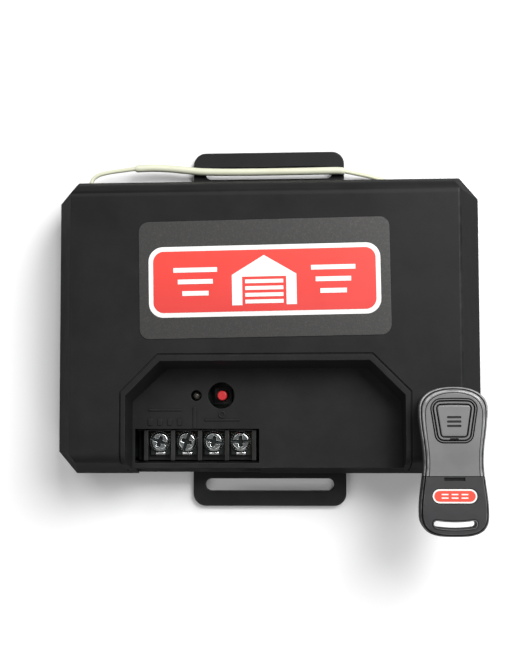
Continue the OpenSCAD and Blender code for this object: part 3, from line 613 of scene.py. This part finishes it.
# the hand remote, in mm from its own middle: a satin shell with a rolled rim, a darker cover below it,
# and a pad inside stepped rings
remotePlan = {
    "middle": (62.4, -47, 34.3), "length": 48.8, "width": 22.3,
    "waistIn": 1.5, "seam": 0.596, "flare": 0.84,
    # steps of the rim from the outside in: inset, height, and 1 where the surface is in shade
    "rim": [(0, 4.5, 0), (0, 8.25, 0), (0.1, 8.6, 2), (0.3, 8.75, 2), (0.46, 8.7, 2), (0.52, 8.2, 1),
            (0.76, 8.2, 1), (0.82, 9.1, 0), (0.95, 9.5, 2), (1.2, 9.8, 2), (1.5, 9.93, 2), (1.8, 9.93, 0),
            (1.86, 9.7, 1), (1.98, 9.7, 1), (2.04, 9.96, 0), (2.2, 10, 0)],
    "wall": 1.3, "deckUnder": 8.6, "split": 4.5, "sidePoints": 30,
    "ring": {"top": 7.7, "bottom": 6.45, "high": 20.5, "low": 5.95, "round": 3.2, "crown": 0.35},
    # steps from the ring's outer edge in to the pad's hole
    "ringSteps": [(0, 10, 0), (0.08, 9.4, 1), (0.34, 9.4, 1), (0.4, 9.95, 0), (0.5, 10.08, 0),
                  (0.66, 10.08, 0), (0.76, 9.9, 0), (0.82, 9, 1), (1.16, 9, 1), (1.22, 9.95, 0),
                  (1.34, 10.18, 0), (1.76, 10.18, 0), (1.92, 9.95, 0), (1.98, 8.6, 1)],
    "padSteps": [(1.25, 7.4, 1), (1.25, 8.5, 1), (2.3, 8.5, 1), (2.34, 9.95, 0), (2.42, 10.15, 0),
                 (2.58, 10.27, 0), (2.8, 10.3, 0)],
    "padBars": {"ys": (14.5, 13.08, 11.66), "size": (4.7, 0.75), "floor": 10.0},
    "stem": (13.55, 1.1, 6.3),
    "window": {"y": 7.38, "top": 1.3, "bottom": 1.62, "tall": 0.62, "z": (10.05, 10.24)},
    "coverRim": [(0, 4.5, 0), (0, 8.3, 0), (0.12, 8.7, 2), (0.4, 8.9, 2), (0.46, 8.5, 1), (0.7, 8.5, 1),
                 (0.76, 9.4, 0), (0.9, 9.75, 2), (1.05, 9.93, 2), (1.25, 10, 0)],
    "notch": {"y": -5.62, "size": (6.8, 1.15), "floor": 9.2},
    "badgeRecess": {"y": -11.1, "size": (15, 5.2), "floor": 9.7},
    # the key slot: half its length, its middle, how far it sags, its height, and the steps of its lip
    "slot": {"half": 6.9, "y": -20.0, "sag": 0.6, "tall": 2.2,
             "lip": [(0.62, 10, 0), (0.6, 9.75, 1), (0.46, 9.75, 1), (0.42, 10.1, 0), (0.32, 10.28, 2),
                     (0.12, 10.28, 2), (0, 10.05, 0), (0, 4.5, 0)]},
}


def remoteHalfWidth(share, plan):
    seamSide = (share - 0.15) / (plan["flare"] - 0.15)
    if share < 0.15:
        full = max(0, 1 - ((0.15 - share) / 0.15) ** 2.3) ** (1 / 2.3)
    elif share > plan["flare"]:
        full = max(0, 1 - ((share - plan["flare"]) / (1 - plan["flare"])) ** 3) ** (1 / 3)
    else:
        full = 1
    waist = plan["waistIn"] * math.sin(math.pi * seamSide) ** 2 if 0 < seamSide < 1 else 0
    return plan["width"] / 2 * full - waist


# the outline from the seam on one side, round the far end, to the seam on the other side
def remoteLine(plan, inset, farEnd, seamY):
    steps = plan["sidePoints"]
    narrowed = 1 - inset / (plan["width"] / 2)
    middleSeam = plan["length"] * (0.5 - plan["seam"])
    shortened = 1 - inset / abs(plan["length"] * (plan["seam"] - farEnd))
    hold = max if farEnd == 0 else min
    side = []
    for k in range(steps + 1):
        share = farEnd + (plan["seam"] - farEnd) * (1 - math.sin(math.pi / 2 * k / steps))
        y = middleSeam + (plan["length"] * (0.5 - share) - middleSeam) * shortened
        side.append((remoteHalfWidth(share, plan) * narrowed, hold(y, seamY)))
    side[0] = (side[0][0], seamY)
    side[-1] = (0, side[-1][1])
    mirrored = [(-x, y) for x, y in side[-2::-1]]
    return side + mirrored if farEnd == 0 else (side + mirrored)[::-1]


# a rounded trapezoid as a closed loop, every one with the same number of points
def ringLoop(ring, inset):
    radius = ring["round"] - inset
    highAt = (ring["top"] - ring["round"], ring["high"] - ring["round"])
    lowAt = (ring["bottom"] - ring["round"], ring["low"] + ring["round"])
    lean = math.degrees(math.atan2(highAt[1] - lowAt[1], highAt[0] - lowAt[0])) - 90
    half = [(lowAt, math.radians(-90 + (lean + 90) * k / 10)) for k in range(11)]
    half += [(highAt, math.radians(lean + (90 - lean) * k / 10)) for k in range(11)]
    loop = [(c[0] + radius * math.cos(a), c[1] + radius * math.sin(a)) for c, a in half]
    loop += [(highAt[0] * (1 - k / 6), loop[-1][1]) for k in range(1, 7)]
    crowned = [(x, y + ring["crown"] * max(0, 1 - (x / ring["top"]) ** 2) * (y > highAt[1])
                * (y - highAt[1]) / radius) for x, y in loop]
    return crowned + [(-x, y) for x, y in crowned[-2::-1]]


def slotLoop(slot, outset):
    length, tall = slot["half"], slot["tall"] / 2
    loop = []
    for side in (1, -1):
        loop += [(side * (length - tall), 180 * k / 12 - side * 90) for k in range(13)]
        loop += [(side * (length - tall) * (1 - k / 8), side * 90) for k in range(1, 16)]
    out = []
    for x, turn in loop:
        x += (tall + outset) * math.cos(math.radians(turn))
        y = slot["y"] + (tall + outset) * math.sin(math.radians(turn))
        out.append((x, y - slot["sag"] * max(0, 1 - (x / length) ** 2)))
    return out


def boxLoop(y, size):
    x, tall = size[0] / 2, size[1] / 2
    return [(-x, y - tall), (x, y - tall), (x, y + tall), (-x, y + tall)]


def barLoop(y, size, bends=8):
    end, r = size[0] / 2 - size[1] / 2, size[1] / 2
    turns = [(side * end, math.radians(180 * k / bends - side * 90))
             for side in (1, -1) for k in range(bends + 1)]
    return [(x + r * math.cos(a), y + r * math.sin(a)) for x, a in turns]


def shadeBetween(first, second):
    return 1 if 1 in (first, second) else 2 if first == second == 2 else 0


# builds one closed shape from rings of points, and marks its faces: 1 takes painted groove shade, 2 takes a
# painted edge highlight
class ShadedShape:
    def __init__(self, middle):
        self.mesh = bmesh.new()
        self.shade = self.mesh.faces.layers.int.new("paintedShadeAndHighlightFlag")
        self.middle = Vector(middle)

    def ring(self, points, z):
        return [self.mesh.verts.new((Vector((x, y, z)) + self.middle) * mm) for x, y in points]

    def bridge(self, first, second, shaded=0, closed=True):
        count = len(first)
        for k in range(count if closed else count - 1):
            n = (k + 1) % count
            self.mesh.faces.new((first[k], first[n], second[n], second[k]))[self.shade] = shaded

    def cap(self, outer, holes=(), shaded=0):
        loops = [outer, *holes]
        corners = [v for loop in loops for v in loop]
        for triangle in tessellate_polygon([[v.co / mm for v in loop] for loop in loops]):
            self.mesh.faces.new([corners[k] for k in triangle])[self.shade] = shaded

    def finish(self, name, material, body, slot, *replaced):
        bmesh.ops.recalc_face_normals(self.mesh, faces=self.mesh.faces)
        shaded = [f[self.shade] for f in self.mesh.faces]
        mesh = bpy.data.meshes.new(name)
        self.mesh.to_mesh(mesh)
        self.mesh.free()
        mesh.attributes.remove(mesh.attributes["paintedShadeAndHighlightFlag"])
        markFaces(mesh, "paintedGrooveShade", shaded, 1)
        markFaces(mesh, "wornAndHighlitEdge", shaded, 2)
        shadedPiece(name, mesh, 38, 90, material, body, slot, *replaced)


# one half of the remote's front: the rim's steps, the flat with its holes, and the hollow under it
def makeShellHalf(plan, node, material, rim, farEnd, seamY, hollowSeamY, hollowEnd, holes):
    shape = ShadedShape(plan["middle"])
    lines = [shape.ring(remoteLine(plan, inset, farEnd, seamY), z) for inset, z, _ in rim]
    for k in range(1, len(lines)):
        shape.bridge(lines[k - 1], lines[k], shadeBetween(rim[k - 1][2], rim[k][2]), closed=False)
    edges, under, below = [], [], []
    for steps, end in holes:
        rings = [shape.ring(points, z) for points, z, _ in steps]
        for k in range(1, len(rings)):
            shape.bridge(rings[k - 1], rings[k], shadeBetween(steps[k - 1][2], steps[k][2]))
        edges.append(rings[0])
        if end == "floor":
            shape.cap(rings[-1], shaded=1)
        else:
            (under if end == "deck" else below).append(rings[-1])
    shape.cap(lines[-1], edges)
    shape.cap([line[0] for line in lines] + [line[-1] for line in reversed(lines)])
    hollow = [(x, max(y, hollowEnd)) for x, y in remoteLine(plan, plan["wall"], farEnd, hollowSeamY)]
    low, high = (shape.ring(hollow, plan[height]) for height in ("split", "deckUnder"))
    shape.bridge(low, high)
    shape.cap(high, under)
    shape.cap(lines[0], [low, *below])
    shape.finish(node + "_finished", material, frame["nodes"][node]["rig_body"], "remote_plastic", node)


def makeButtonPad(plan):
    shape = ShadedShape(plan["middle"])
    steps = plan["padSteps"]
    rings = [shape.ring(ringLoop(plan["ring"], inset), z) for inset, z, _ in steps]
    for k in range(1, len(rings)):
        shape.bridge(rings[k - 1], rings[k], shadeBetween(steps[k - 1][2], steps[k][2]))
    bars = []
    for y in plan["padBars"]["ys"]:
        outline = barLoop(y, plan["padBars"]["size"])
        high, low = (shape.ring(outline, z) for z in (steps[-1][1], plan["padBars"]["floor"]))
        shape.bridge(high, low, 1)
        shape.cap(low, shaded=1)
        bars.append(high)
    shape.cap(rings[-1], bars)
    stemY, stemRadius, stemEnd = plan["stem"]
    turns = [math.atan2(y - stemY, x) for x, y in ringLoop(plan["ring"], steps[0][0])]
    circle = [(stemRadius * math.cos(a), stemY + stemRadius * math.sin(a)) for a in turns]
    top, end = shape.ring(circle, steps[0][1]), shape.ring(circle, stemEnd)
    shape.bridge(rings[0], top)
    shape.bridge(top, end)
    shape.cap(end)
    shape.finish("remote_button_finished", "padPlastic", frame["nodes"]["remote_button"]["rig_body"],
                 "remote_plastic", "remote_button")


def makeLightWindow(plan):
    window = plan["window"]
    shape = ShadedShape(plan["middle"])
    half = window["tall"] / 2
    rings = []
    for trim, z in ((0, window["z"][0]), (0, window["z"][1] - 0.05), (0.06, window["z"][1])):
        low, top = window["bottom"] - trim, window["top"] - trim
        lowY, topY = window["y"] - half + trim, window["y"] + half - trim
        rings.append(shape.ring([(-low, lowY), (low, lowY), (top, topY), (-top, topY)], z))
    shape.bridge(rings[0], rings[1])
    shape.bridge(rings[1], rings[2], 2)
    shape.cap(rings[0])
    shape.cap(rings[2])
    shape.finish("remote_light_window", "darkLens", frame["nodes"]["remote_front_shell"]["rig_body"],
                 "remote_plastic")


def makeRemoteFront(plan):
    seamY = plan["length"] * (0.5 - plan["seam"])
    ringHole = [(ringLoop(plan["ring"], inset), z, mark) for inset, z, mark in plan["ringSteps"]]
    makeShellHalf(plan, "remote_front_shell", "remotePlastic", plan["rim"], 0, seamY + 0.1, seamY + 1.2,
                  seamY + 1.2, [(ringHole, "deck")])
    notch, recess, slot = plan["notch"], plan["badgeRecess"], plan["slot"]
    badgeOutline = barLoop(recess["y"], recess["size"], 16)
    coverHoles = [
        ([(boxLoop(notch["y"], notch["size"]), z, 0) for z in (10, notch["floor"])], "floor"),
        ([(badgeOutline, z, 0) for z in (10, recess["floor"])], "floor"),
        ([(slotLoop(slot, outset), z, mark) for outset, z, mark in slot["lip"]], "split"),
    ]
    makeShellHalf(plan, "remote_battery_cover", "coverPlastic", plan["coverRim"], 1, seamY - 0.1, seamY - 1.2,
                  -17.6, coverHoles)
    makeButtonPad(plan)
    makeLightWindow(plan)
    print("hand remote made")


makeRemoteFront(remotePlan)


def geometryTree(name, inputs):
    tree = bpy.data.node_groups.new(name, "GeometryNodeTree")
    tree.interface.new_socket("Geometry", in_out="INPUT", socket_type="NodeSocketGeometry")
    for label, (kind, value) in inputs.items():
        socket = tree.interface.new_socket(label, in_out="INPUT", socket_type=kind)
        if value is not None:
            socket.default_value = value
    tree.interface.new_socket("Geometry", in_out="OUTPUT", socket_type="NodeSocketGeometry")
    return tree, addNode(tree, "NodeGroupInput", (-900, 0)), addNode(tree, "NodeGroupOutput", (900, 0))


def bakeTree(name, data, tree, values, body, *replaced):
    carrier = bpy.data.objects.new(name + "Carrier", data)
    bpy.context.scene.collection.objects.link(carrier)
    modifier = carrier.modifiers.new(name, "NODES")
    modifier.node_group = tree
    named = {item.name: item.identifier for item in tree.interface.items_tree if item.in_out == "INPUT"}
    for label, value in values.items():
        modifier[named[label]] = value
    bpy.context.view_layer.update()
    shown = carrier.evaluated_get(bpy.context.evaluated_depsgraph_get())
    mesh = bpy.data.meshes.new_from_object(shown)
    bpy.data.objects.remove(carrier)
    return addObject(name, mesh, body, *replaced)


def paintedOutput(tree, given, out, shape):
    real = addNode(tree, "GeometryNodeRealizeInstances")
    wire(tree, shape, real.inputs["Geometry"])
    paint = addNode(tree, "GeometryNodeSetMaterial")
    wire(tree, real.outputs["Geometry"], paint.inputs["Geometry"])
    wire(tree, given.outputs["Material"], paint.inputs["Material"])
    wire(tree, paint.outputs["Geometry"], out.inputs["Geometry"])


# Count blocks of Size standing on a circle of Radius round Centre, each turned to face outwards
def ringTree():
    tree, given, out = geometryTree("teethRoundRing", {
        "Count": ("NodeSocketInt", 24), "Radius": ("NodeSocketFloat", 3.4 * mm),
        "Size": ("NodeSocketVector", (0.3 * mm, 0.3 * mm, 1 * mm)), "Centre": ("NodeSocketVector", None),
        "Material": ("NodeSocketMaterial", None)})
    circle = addNode(tree, "GeometryNodeMeshCircle")
    wire(tree, given.outputs["Count"], circle.inputs["Vertices"])
    wire(tree, given.outputs["Radius"], circle.inputs["Radius"])
    block = addNode(tree, "GeometryNodeMeshCube")
    wire(tree, given.outputs["Size"], block.inputs["Size"])
    facing = addNode(tree, "FunctionNodeAlignEulerToVector", axis="X")
    wire(tree, addNode(tree, "GeometryNodeInputPosition").outputs[0], facing.inputs["Vector"])
    place = addNode(tree, "GeometryNodeInstanceOnPoints")
    wire(tree, circle.outputs["Mesh"], place.inputs["Points"])
    wire(tree, block.outputs["Mesh"], place.inputs["Instance"])
    wire(tree, facing.outputs["Rotation"], place.inputs["Rotation"])
    move = addNode(tree, "GeometryNodeTransform")
    wire(tree, place.outputs["Instances"], move.inputs["Geometry"])
    wire(tree, given.outputs["Centre"], move.inputs["Translation"])
    paintedOutput(tree, given, out, move.outputs["Geometry"])
    return tree


# Columns by Rows copies of a block, spread evenly over Spread about Centre
def gridTree():
    tree, given, out = geometryTree("blocksOnGrid", {
        "Columns": ("NodeSocketInt", 3), "Rows": ("NodeSocketInt", 3),
        "Spread": ("NodeSocketVector", None), "Size": ("NodeSocketVector", None),
        "Centre": ("NodeSocketVector", None), "Material": ("NodeSocketMaterial", None)})
    spread = addNode(tree, "ShaderNodeSeparateXYZ")
    wire(tree, given.outputs["Spread"], spread.inputs[0])
    grid = addNode(tree, "GeometryNodeMeshGrid")
    wire(tree, spread.outputs["X"], grid.inputs["Size X"])
    wire(tree, spread.outputs["Y"], grid.inputs["Size Y"])
    wire(tree, given.outputs["Columns"], grid.inputs["Vertices X"])
    wire(tree, given.outputs["Rows"], grid.inputs["Vertices Y"])
    points = addNode(tree, "GeometryNodeMeshToPoints")
    wire(tree, grid.outputs["Mesh"], points.inputs["Mesh"])
    block = addNode(tree, "GeometryNodeMeshCube")
    wire(tree, given.outputs["Size"], block.inputs["Size"])
    place = addNode(tree, "GeometryNodeInstanceOnPoints")
    wire(tree, points.outputs["Points"], place.inputs["Points"])
    wire(tree, block.outputs["Mesh"], place.inputs["Instance"])
    move = addNode(tree, "GeometryNodeTransform")
    wire(tree, place.outputs["Instances"], move.inputs["Geometry"])
    wire(tree, given.outputs["Centre"], move.inputs["Translation"])
    paintedOutput(tree, given, out, move.outputs["Geometry"])
    return tree


screwPlan = {"teeth": 26, "radius": 3.47, "size": (0.16, 0.3, 1.0),
             "firstX": -37.7, "pitch": 9.5, "y": -41, "z": 18.3}


def makeScrewTeeth(plan, tree):
    for i in range(4):
        centre = (plan["firstX"] + plan["pitch"] * i, plan["y"], plan["z"])
        teeth = bakeTree("terminal_screw_teeth_%d" % (i + 1), bpy.data.meshes.new("teeth"), tree,
                         {"Count": plan["teeth"], "Radius": plan["radius"] * mm,
                          "Size": [v * mm for v in plan["size"]], "Centre": [v * mm for v in centre],
                          "Material": materials["toothZinc"]}, "screw_%d" % (i + 1))


makeScrewTeeth(screwPlan, ringTree())

# the hand remote's badge: a cream plate, a red field and a short row of slats
remoteBadgePlan = {"centre": (62.4, -58.1), "z": 44.12, "plate": (14.4, 4.6), "field": (13.3, 3.5),
                   "thick": 0.16, "slatColumns": 3, "slatRows": 2,
                   "slatSpread": (6.4, 1.15), "slat": (2.2, 0.42, 0.1)}


def stadiumPlate(shape, centre, size, low, high, material, corners=14):
    ends = [(centre[0] + x, y) for x, y in barLoop(centre[1], size, corners)]
    rings = [[shape.verts.new(Vector((x, y, z)) * mm) for x, y in ends] for z in (low, high)]
    faces = [shape.faces.new(rings[1]), shape.faces.new(rings[0][::-1])]
    for k in range(len(ends)):
        n = (k + 1) % len(ends)
        faces.append(shape.faces.new((rings[0][k], rings[0][n], rings[1][n], rings[1][k])))
    for face in faces:
        face.material_index = material


def makeRemoteBadge(plan, tree):
    shape = bmesh.new()
    low = plan["z"] - 0.42
    stadiumPlate(shape, plan["centre"], plan["plate"], low, plan["z"], 0)
    stadiumPlate(shape, plan["centre"], plan["field"], low, plan["z"] + plan["thick"] / 2, 1)
    mesh = bpy.data.meshes.new("remoteBadge")
    shape.to_mesh(mesh)
    shape.free()
    mesh.materials.append(materials["badgeCream"])
    mesh.materials.append(materials["remoteRed"])
    badge = addObject("remote_badge_plate", mesh, "remote_battery_cover", "remote_badge")
    centre = (*plan["centre"], plan["z"] + plan["thick"] / 2)
    slats = bakeTree("remote_badge_slats", bpy.data.meshes.new("slats"), tree,
                     {"Columns": plan["slatColumns"], "Rows": plan["slatRows"],
                      "Spread": [v * mm for v in (*plan["slatSpread"], 0)],
                      "Size": [v * mm for v in plan["slat"]],
                      "Centre": [v * mm for v in centre], "Material": materials["badgeCream"]},
                     "remote_battery_cover")


blocksOnGrid = gridTree()
makeRemoteBadge(remoteBadgePlan, blocksOnGrid)

# solder joints of the parts behind the bay, in rows under the block and the switch
solderPlan = {"z": 10.65, "size": (0.9, 0.9, 0.3),
              "rows": [((-23.45, -33.9), (6, 2), (22, 2.54)), ((-15.8, -32), (2, 2), (4.5, 2))]}


def makeSolder(plan, tree):
    for number, (centre, count, spread) in enumerate(plan["rows"]):
        dots = bakeTree("solder_row_%d" % (number + 1), bpy.data.meshes.new("solder"), tree,
                        {"Columns": count[0], "Rows": count[1], "Spread": [v * mm for v in (*spread, 0)],
                         "Size": [v * mm for v in plan["size"]],
                         "Centre": [v * mm for v in (*centre, plan["z"])], "Material": materials["canSteel"]},
                        "receiver")


makeSolder(solderPlan, blocksOnGrid)
print("repeated details made")


antennaPlan = {
    "route": [
        (-65, 52.3, 7.6), (-65, 53.2, 7.6), (-64.2, 55, 7.5), (-62, 56.4, 7.3), (-58, 57.4, 6.9),
        (-54, 58, 6.5), (-49, 58.7, 5.9), (-42.5, 59, 5.4), (-36, 58.7, 5), (-30, 58.1, 4.7),
        (-23.5, 57.5, 4.6), (-11, 57.2, 4.6), (11, 57.2, 4.6), (24.5, 57.3, 4.6), (28, 57, 4.4),
        (31.5, 56.4, 3.6), (36, 55.7, 2.1), (42, 54.2, 1), (48, 51.6, 0.9), (55, 47.3, 0.9), (61, 41, 0.9),
        (64.5, 33, 0.9), (66, 24, 0.9), (66.5, 14, 0.9), (66, 4, 0.9), (65, -6, 0.9)],
    "wireDiameter": 1.5,
    "sleeveDiameter": 2.7,
    "sleeveSpan": (6, 14),
    "steps": 6,
}


def smoothRoute(points, steps):
    route = [Vector(p) * mm for p in points]
    last = len(route) - 1
    smooth = []
    for i in range(last):
        a, b, c, d = route[max(i - 1, 0)], route[i], route[i + 1], route[min(i + 2, last)]
        for k in range(steps):
            t = k / steps
            smooth.append(0.5 * (2 * b + (c - a) * t + (2 * a - 5 * b + 4 * c - d) * t * t
                                 + (3 * b - a - 3 * c + d) * t * t * t))
    return smooth + [route[last]]


def pathLength(points):
    return sum((b - a).length for a, b in zip(points, points[1:]))


def curveThrough(name, points, radius):
    data = bpy.data.curves.new(name, "CURVE")
    data.dimensions = "3D"
    data.bevel_depth = radius
    data.bevel_resolution = 4
    data.use_fill_caps = True
    spline = data.splines.new("POLY")
    spline.points.add(len(points) - 1)
    for point, place in zip(spline.points, points):
        point.co = (*place, 1)
    return data


def makeAntenna(plan):
    route = smoothRoute(plan["route"], plan["steps"])
    data = curveThrough("antennaWire", route, plan["wireDiameter"] / 2 * mm)
    data.materials.append(materials["wireInsulation"])
    cord = addObject("antenna_wire_free", data, "receiver", "antenna_wire")
    first, last = plan["sleeveSpan"]
    sleeveRoute = smoothRoute(plan["route"][first:last + 1], plan["steps"])
    sleeve = sleeveTube(sleeveRoute, plan["sleeveDiameter"] / 2 * mm)
    print("antenna length %.4f m" % pathLength(route))


def sleeveTree():
    tree, given, out = geometryTree("sleeveAlongWire", {
        "Radius": ("NodeSocketFloat", 1.15 * mm), "End Rounding": ("NodeSocketFloat", 0.012),
        "Sides": ("NodeSocketInt", 20), "Material": ("NodeSocketMaterial", None)})
    along = addNode(tree, "GeometryNodeSplineParameter")
    fromEnd = mathNode(tree, "MINIMUM", along.outputs["Factor"],
                       mathNode(tree, "SUBTRACT", 1, along.outputs["Factor"]))
    share = mathNode(tree, "DIVIDE", fromEnd, given.outputs["End Rounding"], True)
    full = mathNode(tree, "SUBTRACT", 1, mathNode(tree, "POWER", mathNode(tree, "SUBTRACT", 1, share), 2))
    swell = mathNode(tree, "ADD", mathNode(tree, "MULTIPLY", full, 0.22), 0.78)
    ring = addNode(tree, "GeometryNodeCurvePrimitiveCircle")
    wire(tree, given.outputs["Sides"], ring.inputs["Resolution"])
    wire(tree, given.outputs["Radius"], ring.inputs["Radius"])
    swept = addNode(tree, "GeometryNodeCurveToMesh")
    wire(tree, given.outputs["Geometry"], swept.inputs["Curve"])
    wire(tree, ring.outputs["Curve"], swept.inputs["Profile Curve"])
    if "Scale" in swept.inputs:
        wire(tree, swell, swept.inputs["Scale"])
    swept.inputs["Fill Caps"].default_value = True
    smooth = addNode(tree, "GeometryNodeSetShadeSmooth")
    wire(tree, swept.outputs["Mesh"], smooth.inputs["Geometry"])
    paintedOutput(tree, given, out, smooth.outputs["Geometry"])
    return tree


def sleeveTube(route, radius):
    return bakeTree("antenna_sleeve_moulded", curveThrough("sleeveLine", route, 0), sleeveTree(),
                    {"Radius": radius, "Material": materials["sleeveInsulation"]},
                    "receiver", "antenna_sleeve")


makeAntenna(antennaPlan)


studioPlan = {
    "floorSize": 4.0,
    "floorColour": (0.98, 0.98, 0.98),
    "floorBounce": (0.2, 0.2, 0.2),
    "worldStrength": 0.12,
    # place, size, power: metres and watts
    "lamps": [
        ((0.36, 0.36, 0.62), 0.5, 8.5),
        ((-0.6, -0.5, 0.75), 0.7, 2.4),
        ((-0.5, 0.6, 0.8), 0.6, 2.4),
        ((0.3, -0.8, 0.6), 0.6, 1.8),
    ],
}


def makeFloor(plan):
    mesh = bpy.data.meshes.new("floor")
    half = plan["floorSize"] / 2
    corners = [(-half, -half, 0), (half, -half, 0), (half, half, 0), (-half, half, 0)]
    mesh.from_pydata(corners, [], [(0, 1, 2, 3)])
    floor = bpy.data.objects.new("floor", mesh)
    bpy.context.scene.collection.objects.link(floor)
    material, tree, shader = newMaterial("floorPaper", roughness=0.9, specular=0.2)
    # the paper throws back little of its light, so that the case's walls stay dark
    seen = addNode(tree, "ShaderNodeLightPath").outputs["Is Camera Ray"]
    wire(tree, mixColour(tree, seen, plan["floorBounce"], plan["floorColour"]), shader.inputs["Base Color"])
    mesh.materials.append(material)
    floor.location.z = -0.0002


def makeLights(plan):
    for number, (place, size, power) in enumerate(plan["lamps"]):
        data = bpy.data.lights.new("softbox%d" % number, "AREA")
        data.shape = "SQUARE"
        data.size = size
        data.energy = power
        lamp = bpy.data.objects.new("softbox%d" % number, data)
        bpy.context.scene.collection.objects.link(lamp)
        away = Vector(place).normalized()
        aim = away.to_track_quat("Z", "Y").to_matrix().to_4x4()
        lamp.matrix_world = Matrix.Translation(Vector(place)) @ aim
    world = bpy.data.worlds.new("studio")
    bpy.context.scene.world = world
    world.use_nodes = True
    background = world.node_tree.nodes["Background"]
    background.inputs["Color"].default_value = (1, 1, 1, 1)
    background.inputs["Strength"].default_value = plan["worldStrength"]
    bpy.context.scene.view_settings.view_transform = "Standard"


makeFloor(studioPlan)
makeLights(studioPlan)
print("studio lit")
